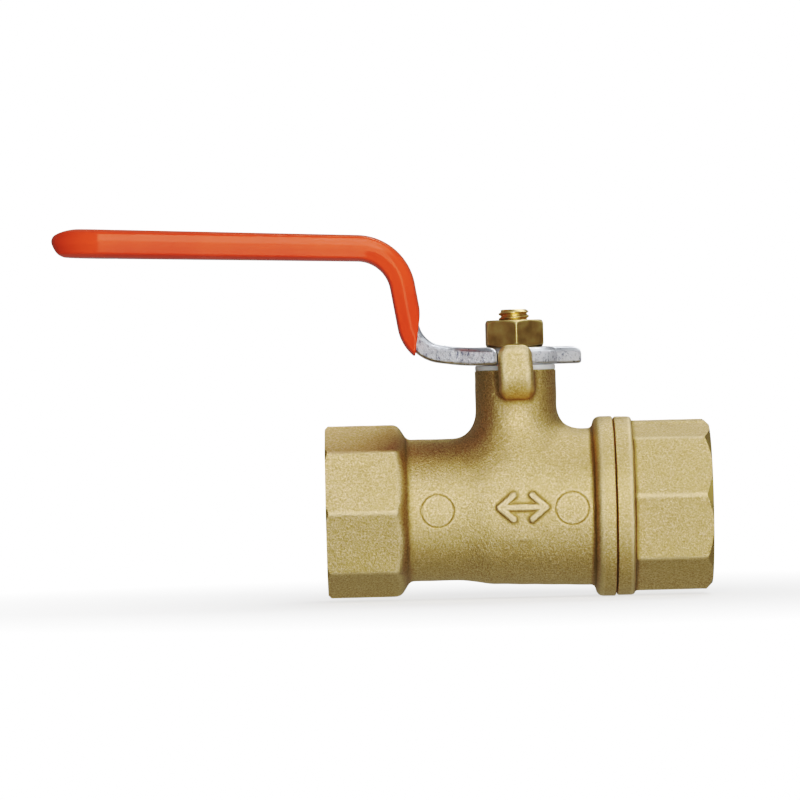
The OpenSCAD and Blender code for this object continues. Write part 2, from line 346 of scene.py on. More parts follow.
def thread_depth(thread, p, theta):
    """How far the thread stands from its plain surface, faded out at its runs."""
    grow = 1.0
    if thread["fade"][0]:
        grow = min(grow, (p - thread["span"][0]) / thread["fade"][0])
    if thread["fade"][1]:
        grow = min(grow, (thread["span"][1] - p) / thread["fade"][1])
    return max(grow, 0) * thread["depth"] * tooth(p / thread["pitch"] - theta / TAU)


def lathe_stations(profile, thread, rows=12):
    """Profile points, with more along the threaded span."""
    if not thread:
        return profile
    low, high = thread["span"]
    step = thread["pitch"] / rows
    stations = []
    for (p0, r0), (p1, r1) in zip(profile, profile[1:]):
        stations.append((p0, r0))
        a, b = max(p0, low), min(p1, high)
        for k in range(1, int(max(b - a, 0) / step)):
            p = a + k * step
            stations.append((p, r0 + (r1 - r0) * (p - p0) / (p1 - p0)))
    return stations + [profile[-1]]


def lathe(name, profile, axis, materials, closed=False, thread=None, segments=128,
          material_index=0):
    """Solid turned about X or Z from (position, radius) points that run towards
    greater positions on the outside; closed makes a ring. A thread of positive depth
    stands out from its base radius, and one of negative depth is cut in."""
    stations = lathe_stations(profile, thread)
    theta = np.arange(segments) * TAU / segments
    rings = []
    for p, r in stations:
        radius = np.full(segments, float(r))
        if thread and thread["span"][0] <= p <= thread["span"][1]:
            wavy = thread["base"] + thread_depth(thread, p, theta)
            limit = np.maximum if thread["depth"] > 0 else np.minimum
            near = abs(r - thread["base"]) <= abs(thread["depth"]) + 0.01
            radius = limit(radius, wavy) if near else radius
        rings.append(np.stack([np.full(segments, float(p)), radius * np.cos(theta),
                               radius * np.sin(theta)], 1))
    k = np.arange(segments)
    nxt = (k + 1) % segments
    count = len(rings)
    faces = []
    for row in range(count if closed else count - 1):
        a, b = row * segments, (row + 1) % count * segments
        faces += np.stack([a + k, a + nxt, b + nxt, b + k], 1).tolist()
    if not closed:
        first, last, end = count * segments, count * segments + 1, (count - 1) * segments
        rings.append(np.array([[stations[0][0], 0, 0], [stations[-1][0], 0, 0]]))
        faces += [[first, int(j), int(i)] for i, j in zip(k, nxt)]
        faces += [[last, int(end + i), int(end + j)] for i, j in zip(k, nxt)]
    points = np.concatenate(rings)
    if axis == "Z":
        points = points[:, [1, 2, 0]]
    return make_object(name, points, faces, materials, {"turn": np.zeros(len(points))},
                       material_index)


def box_object(name, low, high, materials, material_index=0):
    """Plain block, used only as a cutter."""
    corners = [(x, y, z) for x in (low[0], high[0]) for y in (low[1], high[1])
               for z in (low[2], high[2])]
    faces = [(0, 1, 3, 2), (4, 6, 7, 5), (0, 4, 5, 1), (2, 3, 7, 6), (0, 2, 6, 4), (1, 5, 7, 3)]
    return make_object(name, corners, faces, materials, {"turn": np.zeros(8)},
                       material_index)


def combine(obj, tool, operation):
    """Boolean of two closed meshes; the tool is used up."""
    change = obj.modifiers.new("combine", "BOOLEAN")
    change.operation = operation
    change.object = tool
    change.solver = "MANIFOLD"
    bpy.context.view_layer.update()
    shaped = obj.evaluated_get(bpy.context.evaluated_depsgraph_get())
    mesh = bpy.data.meshes.new_from_object(shaped)
    old = obj.data
    obj.modifiers.clear()
    obj.data = mesh
    bpy.data.meshes.remove(old)
    bpy.data.objects.remove(tool)
    return obj


def shade(obj, sharp_angle=32):
    """Smooth shading with hard edges where faces meet at more than an angle."""
    obj.data.polygons.foreach_set("use_smooth", [True] * len(obj.data.polygons))
    obj.data.set_sharp_from_angle(angle=math.radians(sharp_angle))
    return obj


def settle(obj, body, slot, *nodes):
    """The piece moves with a body and stands for CAD nodes, which it hides; slot is not used."""
    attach(obj, body)
    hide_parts(*nodes)
    return obj


# ---------------------------------------------------------------- materials

class Shader:
    """A material with its Principled shader and short calls to wire nodes."""

    def __init__(self, name, **inputs):
        self.material = bpy.data.materials.new(name)
        self.material.use_nodes = True
        self.nodes = self.material.node_tree.nodes
        self.links = self.material.node_tree.links
        self.bsdf = self.nodes["Principled BSDF"]
        for key, value in inputs.items():
            self.bsdf.inputs[key.replace("_", " ")].default_value = value
        self.place = self.add("ShaderNodeTexCoord").outputs["Object"]

    def add(self, kind, **settings):
        """New node with some of its settings."""
        node = self.nodes.new(kind)
        for key, value in settings.items():
            setattr(node, key, value)
        return node

    def link(self, source, target):
        self.links.new(source, target)
        return target

    def noise(self, scale, detail=2.0, rough=0.5, stretch=None):
        """Noise on the object's own coordinates, with scale in cycles per metre."""
        node = self.add("ShaderNodeTexNoise")
        node.inputs["Scale"].default_value = scale
        node.inputs["Detail"].default_value = detail
        node.inputs["Roughness"].default_value = rough
        place = self.place
        if stretch:
            mapping = self.add("ShaderNodeMapping")
            mapping.inputs["Scale"].default_value = stretch
            self.link(place, mapping.inputs["Vector"])
            place = mapping.outputs["Vector"]
        self.link(place, node.inputs["Vector"])
        return node.outputs["Fac"]

    def cells(self, scale):
        """Distance to scattered points."""
        node = self.add("ShaderNodeTexVoronoi", feature="F1")
        node.inputs["Scale"].default_value = scale
        self.link(self.place, node.inputs["Vector"])
        return node.outputs["Distance"]

    def mark(self, name):
        """A number that the mesh carries at its vertices."""
        return self.add("ShaderNodeAttribute", attribute_name=name).outputs["Fac"]

    def spread(self, source, low, high, to_low=0.0, to_high=1.0):
        """A range of values taken to another range, clamped at both ends."""
        node = self.add("ShaderNodeMapRange", clamp=True)
        for socket, value in zip(("From Min", "From Max", "To Min", "To Max"),
                                 (low, high, to_low, to_high)):
            node.inputs[socket].default_value = value
        self.link(source, node.inputs["Value"])
        return node.outputs["Result"]

    def math(self, operation, a, b):
        """Arithmetic on two sockets or numbers."""
        node = self.add("ShaderNodeMath", operation=operation)
        for socket, value in zip(node.inputs, (a, b)):
            if isinstance(value, (int, float)):
                socket.default_value = value
            else:
                self.link(value, socket)
        return node.outputs["Value"]

    def ramp(self, source, stops):
        """Colours along a value, as (position, colour) stops."""
        node = self.add("ShaderNodeValToRGB")
        elements = node.color_ramp.elements
        while len(elements) < len(stops):
            elements.new(0.5)
        for element, (position, colour) in zip(elements, stops):
            element.position = position
            element.color = (*colour, 1)
        self.link(source, node.inputs["Fac"])
        return node.outputs["Color"]

    def mix(self, factor, a, b):
        """Mix of two colours, each a socket or a tuple."""
        node = self.add("ShaderNodeMix", data_type="RGBA")
        sockets = [s for s in node.inputs if s.type == "RGBA"]
        self.link(factor, node.inputs["Factor"])
        for socket, value in zip(sockets, (a, b)):
            if isinstance(value, tuple):
                socket.default_value = (*value, 1)
            else:
                self.link(value, socket)
        return [s for s in node.outputs if s.type == "RGBA"][0]

    def bump(self, height, strength, distance, before=None):
        """Normal bumped by a height, on top of another normal where one is given."""
        node = self.add("ShaderNodeBump")
        node.inputs["Strength"].default_value = strength
        node.inputs["Distance"].default_value = distance
        self.link(height, node.inputs["Height"])
        if before is not None:
            self.link(before, node.inputs["Normal"])
        return node.outputs["Normal"]

    def set(self, socket, source):
        self.link(source, self.bsdf.inputs[socket])


def forged_brass():
    """Sandblasted forging: matte, grainy, paler where edges wear, and brown in hollows as patina
    plus painted shade.
    """
    s = Shader("forged_brass", Metallic=1.0)
    grain = s.noise(3300, 4, 0.7)
    cloud = s.noise(90, 3, 0.55)
    base = s.ramp(grain, [(0.3, (0.45, 0.315, 0.13)), (0.5, (0.63, 0.475, 0.24)),
                          (0.69, (0.86, 0.71, 0.44))])
    base = s.mix(s.spread(cloud, 0.35, 0.7, 0, 0.35), base, (0.60, 0.46, 0.20))
    worn = s.spread(s.mark("turn"), 0.25, 1.1, 0, 0.55)
    base = s.mix(worn, base, (0.84, 0.69, 0.42))
    # Brown in hollows: partly patina, partly painted shade standing in for the shadow in creases
    # and fillets.
    hollow_patina_and_shade = s.spread(s.mark("turn"), -0.12, -1.2, 0, 0.7)
    base = s.mix(hollow_patina_and_shade, base, (0.36, 0.25, 0.09))
    s.set("Base Color", base)
    s.set("Roughness", s.spread(grain, 0.35, 0.68, 0.48, 0.32))
    pits = s.bump(s.cells(1500), 0.2, 0.00014)
    s.set("Normal", s.bump(grain, 0.88, 0.00017, pits))
    return s.material


def machined_brass():
    """Bright turned faces, bores and threads with fine feed marks."""
    s = Shader("machined_brass", Metallic=1.0)
    rings = s.add("ShaderNodeTexWave", wave_type="RINGS", rings_direction="X")
    rings.inputs["Scale"].default_value = 900
    rings.inputs["Distortion"].default_value = 0.6
    s.link(s.place, rings.inputs["Vector"])
    feed = rings.outputs["Fac"]
    cloud = s.noise(160, 3, 0.6)
    base = s.ramp(cloud, [(0.3, (0.66, 0.50, 0.20)), (0.7, (0.83, 0.67, 0.32))])
    s.set("Base Color", base)
    s.set("Roughness", s.spread(cloud, 0.3, 0.7, 0.2, 0.32))
    s.set("Normal", s.bump(feed, 0.12, 0.00004))
    return s.material


def stem_brass():
    """Bright turned stem."""
    s = Shader("stem_brass", Metallic=1.0)
    cloud = s.noise(420, 3, 0.6)
    s.set("Base Color", s.ramp(cloud, [(0.3, (0.66, 0.50, 0.22)), (0.7, (0.86, 0.70, 0.38))]))
    s.set("Roughness", s.spread(cloud, 0.3, 0.7, 0.34, 0.46))
    lines = s.noise(260, 2, 0.5, (1, 1, 14))
    s.set("Normal", s.bump(lines, 0.08, 0.00005))
    return s.material


def nut_brass():
    """Drawn brass nut, dulled to brown and olive, with bright worn edges."""
    s = Shader("nut_brass", Metallic=1.0)
    cloud = s.noise(330, 4, 0.6)
    base = s.ramp(cloud, [(0.28, (0.40, 0.26, 0.10)), (0.5, (0.50, 0.37, 0.16)),
                          (0.75, (0.60, 0.49, 0.24))])
    streak = s.noise(700, 2, 0.5, (1, 1, 0.12))
    base = s.mix(s.spread(streak, 0.5, 0.75, 0, 0.4), base, (0.55, 0.43, 0.18))
    worn = s.spread(s.mark("turn"), 1.2, 4.5, 0, 0.9)
    base = s.mix(worn, base, (0.86, 0.74, 0.42))
    s.set("Base Color", base)
    s.set("Roughness", s.spread(cloud, 0.3, 0.7, 0.34, 0.48))
    s.set("Normal", s.bump(streak, 0.2, 0.0001))
    return s.material


def zinc_plate():
    """Bluish zinc plating: mottled faces, torn sheared edges, painted dark reflections on their
    rims, painted shade in inner corners.
    """
    s = Shader("zinc_plate", Metallic=1.0)
    cloud = s.noise(260, 4, 0.62)
    fine = s.noise(1500, 3, 0.6)
    base = s.ramp(cloud, [(0.3, (0.52, 0.55, 0.61)), (0.52, (0.70, 0.73, 0.78)),
                          (0.75, (0.84, 0.86, 0.90))])
    sheared = s.mark("sheared")
    torn = s.noise(1500, 5, 0.8, (1, 1, 0.6))
    pits = s.spread(torn, 0.53, 0.62)
    base = s.mix(s.math("MULTIPLY", sheared, 0.6), base, (0.93, 0.94, 0.97))
    base = s.mix(s.math("MULTIPLY", s.math("MULTIPLY", sheared, pits), 0.85),
                 base, (0.13, 0.15, 0.24))
    # Painted reflection: dark lines on the convex rims of the sheared faces, in place of the dark
    # surroundings they mirror.
    outline = s.math("MULTIPLY", sheared, s.spread(s.mark("turn"), 1.2, 3.5, 0, 0.6))
    base = s.mix(outline, base, (0.12, 0.13, 0.17))
    # Painted shade: near black where the plate's outline turns inward, in its inner corners.
    base = s.mix(s.spread(s.mark("turn"), -0.6, -3.0, 0, 0.85), base, (0.07, 0.08, 0.10))
    s.set("Base Color", base)
    smear = s.math("MULTIPLY", sheared, 0.06)
    s.set("Roughness", s.math("ADD", s.spread(fine, 0.3, 0.7, 0.26, 0.4), smear))
    skin = s.bump(cloud, 0.18, 0.0002)
    rough = s.math("MULTIPLY", torn, s.spread(sheared, 0, 1, 0.08, 1))
    s.set("Normal", s.bump(rough, 0.9, 0.0005, skin))
    return s.material


def red_vinyl():
    """Glossy dip-coated vinyl with slow ripples, pinholes and a few dull rubs."""
    s = Shader("red_vinyl", Metallic=0.0, Specular_IOR_Level=0.05, Coat_Weight=0.24,
               Coat_Roughness=0.06)
    cloud = s.noise(70, 3, 0.5)
    base = s.ramp(cloud, [(0.3, (0.76, 0.092, 0.033)), (0.7, (0.85, 0.12, 0.045))])
    s.set("Base Color", base)
    rubs = s.noise(210, 4, 0.7, (0.35, 1, 1))
    s.set("Roughness", s.spread(rubs, 0.48, 0.75, 0.2, 0.38))
    ripple = s.bump(s.noise(90, 2, 0.5), 0.36, 0.0006)
    pinholes = s.spread(s.cells(420), 0.0, 0.09)
    s.set("Normal", s.bump(pinholes, 0.12, 0.00008, ripple))
    return s.material


def pale_plastic(name, low, high, rough):
    """PTFE or nylon: waxy, faintly cloudy, with light turning marks."""
    s = Shader(name, Metallic=0.0, Subsurface_Weight=0.08, Subsurface_Scale=0.001)
    cloud = s.noise(300, 3, 0.6)
    s.set("Base Color", s.ramp(cloud, [(0.3, low), (0.7, high)]))
    s.set("Roughness", s.spread(cloud, 0.3, 0.7, rough, rough + 0.12))
    s.set("Normal", s.bump(s.noise(1400, 2, 0.5), 0.1, 0.00005))
    return s.material


def chrome_ball():
    """Hard chrome with the faintest polishing haze."""
    s = Shader("chrome_ball", Metallic=1.0)
    haze = s.noise(500, 3, 0.6)
    s.set("Base Color", s.ramp(haze, [(0.3, (0.62, 0.63, 0.65)), (0.7, (0.72, 0.73, 0.75))]))
    s.set("Roughness", s.spread(haze, 0.3, 0.7, 0.05, 0.12))
    s.set("Normal", s.bump(haze, 0.03, 0.00003))
    return s.material


def black_rubber():
    """Matt nitrile rubber."""
    s = Shader("black_rubber", Metallic=0.0)
    cloud = s.noise(900, 3, 0.6)
    s.set("Base Color", s.ramp(cloud, [(0.3, (0.012, 0.012, 0.012)), (0.7, (0.03, 0.03, 0.03))]))
    s.set("Roughness", s.spread(cloud, 0.3, 0.7, 0.45, 0.6))
    s.set("Normal", s.bump(cloud, 0.1, 0.00005))
    return s.material


FORGED = forged_brass()
MACHINED = machined_brass()
BRASS = [FORGED, MACHINED]
STEM_METAL = stem_brass()
NUT_METAL = nut_brass()
ZINC = zinc_plate()
VINYL = red_vinyl()
PTFE = pale_plastic("ptfe", (0.80, 0.81, 0.79), (0.88, 0.89, 0.87), 0.38)
NYLON = pale_plastic("grey_nylon", (0.56, 0.56, 0.55), (0.68, 0.68, 0.67), 0.34)
CHROME = chrome_ball()
RUBBER = black_rubber()


# ---------------------------------------------------------------- valve body

def forge_ripple(x, y, z):
    """Slow unevenness that a hammered and blasted forging keeps."""
    return 0.016 * (np.sin(0.9 * x + 1.1 * z) * np.sin(0.7 * y - 0.5 * x + 1.3)
                    + np.sin(1.3 * x - 0.8 * z + 0.4) * np.sin(0.9 * z + 0.6 * y))


def parting_line(y):
    """Low ridge where the two dies met, trimmed flat."""
    return 0.08 * (1 - smooth(np.abs(y), 0.35, 0.75))


def barrel_radius(x):
    """Barrel's radius, which swells over the ball and on towards the joint flange."""
    onward = np.clip((x - SWELL_END_X) / (SHOULDER_X - SWELL_END_X), 0, 1)
    return (BARREL_R + (SWELL_R - BARREL_R) * smooth(x, SWELL_START_X, SWELL_END_X)
            + (SHOULDER_R - SWELL_R) * onward)


def lug_field(x, y, z):
    """Stop lug: a round-cornered bar whose front slopes back to an undercut foot."""
    upper = smooth(z, 19.5, 24.0)
    half = LUG_HALF - LUG_TAPER * upper
    mid = (LUG_TOP + LUG_FOOT) / 2
    front_view = rounded_box(x - LUG_X + LUG_LEAN * upper, z - mid, half,
                             (LUG_TOP - LUG_FOOT) / 2, LUG_CORNER_R)
    face = LUG_FRONT - y
    slope = slant(y, z, (LUG_FRONT, 20.6), (-0.9, -0.43))
    under = slant(y, z, (-10.1, 18.3), (-0.45, -0.89))
    side_view = soft_common(soft_common(face, slope, 0.3), under, 1.2)
    return np.maximum(soft_common(front_view, side_view, 1.3), y + NECK_R - 1.5)


def flow_mark(x, z):
    """Plain double-headed arrow of round-ended bars, which stands proud of the barrel."""
    half, head, rise, bar = 3.7, 2.2, 1.9, 0.5
    u, v = x - FLOW_MARK_X, z - FLOW_MARK_Z
    field = segment_field(u, v, (-half, 0), (half, 0), bar)
    for way in (-1, 1):
        for up in (-1, 1):
            tip, back = (way * half, 0), (way * (half - head), up * rise)
            field = np.minimum(field, segment_field(u, v, tip, back, bar))
    return field


def body_field(x, y, z):
    """Outside of the body: octagon, barrel, joint flange, neck, stop lug and marks."""
    r = np.hypot(y, z)
    wrench = polygon_field(y, z, 8, OCTAGON_AF, 0, CORNER_R)
    wrench = soft_common(wrench, slant(x, r, OCTAGON_BACK, (0.846, 0.533)), 0.8)
    barrel_r = barrel_radius(x)
    barrel = r - barrel_r
    flange_back = slant(x, r, FLANGE_BACK, (-0.97, 0.24))
    flange = soft_common(r - FLANGE_R + 0.05, flange_back, 1.0)
    solid = soft_union(barrel, wrench, 0.6)
    solid = soft_union(solid, flange, 0.6)
    neck = np.maximum(np.hypot(x, y) - NECK_R, np.maximum(-z, z - NECK_TOP - 0.3))
    fillet = NECK_FILLET + NECK_FILLET_GROWTH * y * y / np.maximum(x * x + y * y, 1)
    solid = soft_union(solid, neck, fillet)
    solid = soft_union(solid, lug_field(x, y, z), 0.8)
    solid = solid + forge_ripple(x, y, z) - parting_line(y)
    front = y < 0
    mark = soft_common(flow_mark(x, z), r - barrel_r - FLOW_MARK_HEIGHT, 0.3)
    solid = np.where(front, soft_union(solid, mark, 0.35), solid)
    for centre in RING_MARKS:
        ring = np.abs(np.hypot(x - centre, z) - RING_MARK_R)
        solid = solid + front * RING_MARK_DEPTH * (1 - smooth(ring, 0.0, 0.2))
    return np.maximum(solid, np.maximum(INLET_X - END_STOCK - x, x - SEAM_X - JOINT_STOCK))


def port_profile(face_x, way, depth):
    """Points of one port from its drilled end out to its face, seen along way."""
    chamfer = MOUTH_R - PORT_R
    return [(face_x - way * (depth + DRILL_CONE), WATERWAY_R),
            (face_x - way * depth, PORT_R),
            (face_x - way * chamfer, PORT_R),
            (face_x, MOUTH_R)]


def pipe_thread(face_x, way, depth):
    """Helical groove of a G 1/2 thread, which runs out before the port's end."""
    inner = face_x - way * (depth - 0.8)
    fade = (PIPE_PITCH, 0) if way > 0 else (0, PIPE_PITCH)
    return {"pitch": PIPE_PITCH, "base": PORT_R, "depth": PIPE_DEPTH,
            "span": (min(inner, face_x), max(inner, face_x)), "fade": fade}


def roughen_groove(obj, rim_r):
    """Forged finish inside the narrow groove where body and end cap meet."""
    for face in obj.data.polygons:
        x, y, z = face.center / MM
        if abs(x - SEAM_X) < 2 * JOINT_BREAK and math.hypot(y, z) > rim_r - JOINT_DEPTH:
            face.material_index = 0


def make_valve_body():
    """Body forging on grids that are finer at the shoulder, flow mark and flange, then
    bored along both axes."""
    xs = grid_lines(INLET_X - 1.3, SEAM_X + 1.0, 0.36,
                    [(-16.2, -10.0, 0.13), (5.3, 11.3, 0.13), (-4.5, 5.0, 0.18)])
    ys = grid_lines(-FLANGE_R - 0.5, FLANGE_R + 0.5, 0.34, [(-1, 1, 0.2)])
    zs = grid_lines(-FLANGE_R - 0.5, LUG_TOP + 0.6, 0.34, [(-3.2, 3.2, 0.13)])
    body = field_object("valve_body_forging", body_field, xs, ys, zs, BRASS)
    edge = END_CORNER_R - EDGE_BREAK
    joint_r = FLANGE_R - JOINT_BREAK
    passage = [(INLET_X - 3, CUT_R), (INLET_X + CUT_R - edge, CUT_R), (INLET_X, edge)]
    passage += port_profile(INLET_X, -1, INLET_DEPTH)[::-1]
    passage += [(-SEAT_BACK_X, WATERWAY_R), (-SEAT_BACK_X, POCKET_R),
                (POCKET_END_X, POCKET_R), (POCKET_END_X, CHAMBER_R),
                (CHAMBER_END_X, CHAMBER_R), (CHAMBER_END_X, NOSE_R),
                (SEAM_X, NOSE_R), (SEAM_X, FLANGE_R - JOINT_DEPTH),
                (SEAM_X - JOINT_GAP, joint_r),
                (SEAM_X - JOINT_GAP - CUT_R + joint_r, CUT_R), (SEAM_X + 3, CUT_R)]
    combine(body, lathe("inlet_passage", passage, "X", BRASS, material_index=1,
                        thread=pipe_thread(INLET_X, -1, INLET_DEPTH)), "DIFFERENCE")
    stem_way = [(0, COLLAR_POCKET_R), (WASHER_SEAT_Z, COLLAR_POCKET_R),
                (WASHER_SEAT_Z, SHAFT_R + RUNNING_GAP), (NECK_TOP - 0.3, SHAFT_R + RUNNING_GAP),
                (NECK_TOP, SHAFT_R + 0.35), (NECK_TOP, LUG_INNER_R),
                (LUG_TOP + 2, LUG_INNER_R)]
    combine(body, lathe("stem_passage", stem_way, "Z", BRASS, material_index=1), "DIFFERENCE")
    roughen_groove(body, FLANGE_R)
    settle(shade(body), "housing", "forged_brass", "valve_body")


# ---------------------------------------------------------------- end cap

def cap_field(x, y, z):
    """Outside of the end cap: octagon and flange, with stock left for the nose."""
    r = np.hypot(y, z)
    wrench = polygon_field(y, z, 8, OCTAGON_AF, -CAP_TURN, CORNER_R)
    flange = soft_common(r - CAP_FLANGE_R + 0.04, x - CAP_FLANGE_END_X, 0.7)
    joint_face = SEAM_X - JOINT_STOCK - x
    flange = np.maximum(flange, joint_face)
    solid = soft_union(wrench, flange, 0.35)
    solid = np.maximum(solid, joint_face)
    nose = np.maximum(r - NOSE_R - NOSE_STOCK, NOSE_END_X - x)
    solid = np.minimum(solid, nose)
    solid = solid + forge_ripple(x + 7, z, y) - parting_line(y)
    return np.maximum(solid, x - OUTLET_X - END_STOCK)


def make_end_cap():
    """End cap forging, bored from its mouth and turned down to its nose."""
    xs = grid_lines(NOSE_END_X - 0.8, OUTLET_X + 1.2, 0.3)
    ys = grid_lines(-CAP_FLANGE_R - 0.5, CAP_FLANGE_R + 0.5, 0.3, [(-1, 1, 0.2)])
    zs = grid_lines(-CAP_FLANGE_R - 0.5, CAP_FLANGE_R + 0.5, 0.3)
    cap = field_object("end_cap_forging", cap_field, xs, ys, zs, BRASS)
    edge = END_CORNER_R - CAP_EDGE_BREAK
    passage = [(NOSE_END_X - 2, SEAT_R), (SEAT_BACK_X, SEAT_R), (SEAT_BACK_X, WATERWAY_R)]
    passage += port_profile(OUTLET_X, 1, OUTLET_DEPTH)
    passage += [(OUTLET_X, edge), (OUTLET_X - CUT_R + edge, CUT_R), (OUTLET_X + 3, CUT_R)]
    combine(cap, lathe("outlet_passage", passage, "X", BRASS, material_index=1,
                       thread=pipe_thread(OUTLET_X, 1, OUTLET_DEPTH)), "DIFFERENCE")
    joint_r = CAP_FLANGE_R - JOINT_BREAK
    outside = [(NOSE_END_X - 3, CUT_R), (SEAM_X + JOINT_GAP + CUT_R - joint_r, CUT_R),
               (SEAM_X + JOINT_GAP, joint_r), (SEAM_X, CAP_FLANGE_R - JOINT_DEPTH),
               (SEAM_X, NOSE_R), (NOSE_END_X + 0.6, NOSE_R), (NOSE_END_X, NOSE_R - 0.5),
               (NOSE_END_X, SEAT_R - 1), (NOSE_END_X - 3, SEAT_R - 1)]
    combine(cap, lathe("nose_outside", outside, "X", BRASS, material_index=1, closed=True),
            "DIFFERENCE")
    roughen_groove(cap, CAP_FLANGE_R)
    settle(shade(cap), "housing", "forged_brass", "end_cap")


# ---------------------------------------------------------------- ball, seats and seals

def make_ball():
    """Ball with its bore along the flow and a slot for the stem's tang."""
    def field(x, y, z):
        sphere = np.sqrt(x * x + y * y + z * z) - BALL_R
        solid = soft_common(sphere, BALL_BORE_R - np.hypot(y, z), 0.9)
        slot = np.maximum(np.abs(x) - SLOT_HALF, SLOT_Z - z)
        return soft_common(solid, -slot, 0.35)

    line = grid_lines(-BALL_R - 0.5, BALL_R + 0.5, 0.26)
    ball = field_object("ball_polished", field, line, line, line, [CHROME])
    settle(shade(ball), "ball", "chromed_ball", "ball")


def seat_profile(side):
    """Closed outline of a seat ring whose face follows the ball, with small edge breaks."""
    face = BALL_R + 0.08
    steps = 8
    outer_angle = math.acos(SEAT_FACE_X / face)
    inner_angle = math.asin(SEAT_BORE_R / face)
    cup = [(face * math.cos(a), face * math.sin(a))
           for a in np.linspace(inner_angle, outer_angle, steps)]
    rim = [(SEAT_FACE_X, cup[-1][1]), (SEAT_FACE_X, SEAT_R - 0.15), (SEAT_FACE_X + 0.15, SEAT_R)]
    back = [(SEAT_BACK_X - 0.3, SEAT_R), (SEAT_BACK_X, SEAT_R - 0.3),
            (SEAT_BACK_X, SEAT_BORE_R + 0.3), (SEAT_BACK_X - 0.3, SEAT_BORE_R)]
    outline = cup + rim + back
    return [(side * p, r) for p, r in outline][::side]


def make_seats():
    """PTFE seat rings on both sides of the ball."""
    for side, name in ((-1, "seat_ring_inlet"), (1, "seat_ring_outlet")):
        ring = lathe(name + "_turned", seat_profile(side), "X", [PTFE], closed=True)
        settle(shade(ring), "housing", "ptfe", name)


def ring_outline(low, high, inner, outer, break_size):
    """Closed outline of a flat ring with its outer edges broken."""
    return [(low, inner), (low, outer - break_size), (low + break_size, outer),
            (high - break_size, outer), (high, outer - break_size), (high, inner)]


def make_washers():
    """PTFE washer on the stem's collar and nylon washer on the neck's top."""
    for name, slot, finish, round_off in (("thrust_washer", "ptfe", PTFE, 0.1),
                                          ("neck_washer", "grey_nylon", NYLON, 0.14)):
        low, high = node_box(name)
        outline = ring_outline(low[2], high[2], SHAFT_R + 0.1, high[0], round_off)
        ring = lathe(name + "_ring", outline, "Z", [finish], closed=True)
        settle(shade(ring), "housing", slot, name)


def make_o_rings():
    """Rubber rings in the stem's two grooves."""
    for name in ("stem_o_ring_lower", "stem_o_ring_upper"):
        low, high = node_box(name)
        cord_r = (high[2] - low[2]) / 2
        middle_z, middle_r = (high[2] + low[2]) / 2, high[0] - cord_r
        angles = -np.arange(24) * TAU / 24
        outline = [(middle_z + cord_r * math.cos(a), middle_r + cord_r * math.sin(a))
                   for a in angles]
        ring = lathe(name + "_seal", outline, "Z", [RUBBER], closed=True)
        settle(shade(ring), "lever_and_stem", "black_rubber", name)


# ---------------------------------------------------------------- stem and nut

def make_stem():
    """Turned stem with its tang, collar, grooves, flats and threaded end."""
    groove_r, half_groove, lip = 2.9, 0.75, 0.12
    grooves = []
    for name in ("stem_o_ring_lower", "stem_o_ring_upper"):
        low, high = node_box(name)
        z = (low[2] + high[2]) / 2
        grooves += [(z - half_groove - lip, SHAFT_R), (z - half_groove, SHAFT_R - lip),
                    (z - half_groove, groove_r), (z + half_groove, groove_r),
                    (z + half_groove, SHAFT_R - lip), (z + half_groove + lip, SHAFT_R)]
    top = STEM_HIGH[2]
    collar_top = WASHER_SEAT_Z - 1 - RUNNING_GAP
    profile = [(COLLAR_Z, COLLAR_R - 0.2), (COLLAR_Z + 0.2, COLLAR_R),
               (collar_top - 0.1, COLLAR_R), (collar_top, COLLAR_R - 0.1), (collar_top, SHAFT_R)]
    profile += grooves
    profile += [(PLATE_Z - 0.15, SHAFT_R), (PLATE_Z, SHAFT_R - 0.15), (PLATE_Z, DD_R),
                (DD_TOP - 0.1, DD_R), (DD_TOP, DD_R - 0.1), (DD_TOP, STEM_THREAD_R),
                (top - 0.45, STEM_THREAD_R), (top - 0.12, STEM_THREAD_R - 0.33),
                (top, STEM_THREAD_R - 0.55)]
    thread = {"pitch": STEM_PITCH, "base": STEM_THREAD_R, "depth": -STEM_DEPTH,
              "span": (DD_TOP, top), "fade": (STEM_PITCH, 0)}
    stem = lathe("stem_turned", profile, "Z", [STEM_METAL], thread=thread)
    for side in (-1, 1):
        faces = sorted((side * DD_HALF, side * 6))
        combine(stem, box_object("flat", (-6, faces[0], PLATE_Z), (6, faces[1], DD_TOP + 0.02),
                                 [STEM_METAL]), "DIFFERENCE")
    combine(stem, box_object("tang", (-TANG_HALF, -TANG_REACH, STEM_LOW[2]),
                             (TANG_HALF, TANG_REACH, COLLAR_Z + 0.3), [STEM_METAL]), "UNION")
    settle(shade(stem, 40), "lever_and_stem", "turned_brass", "stem")


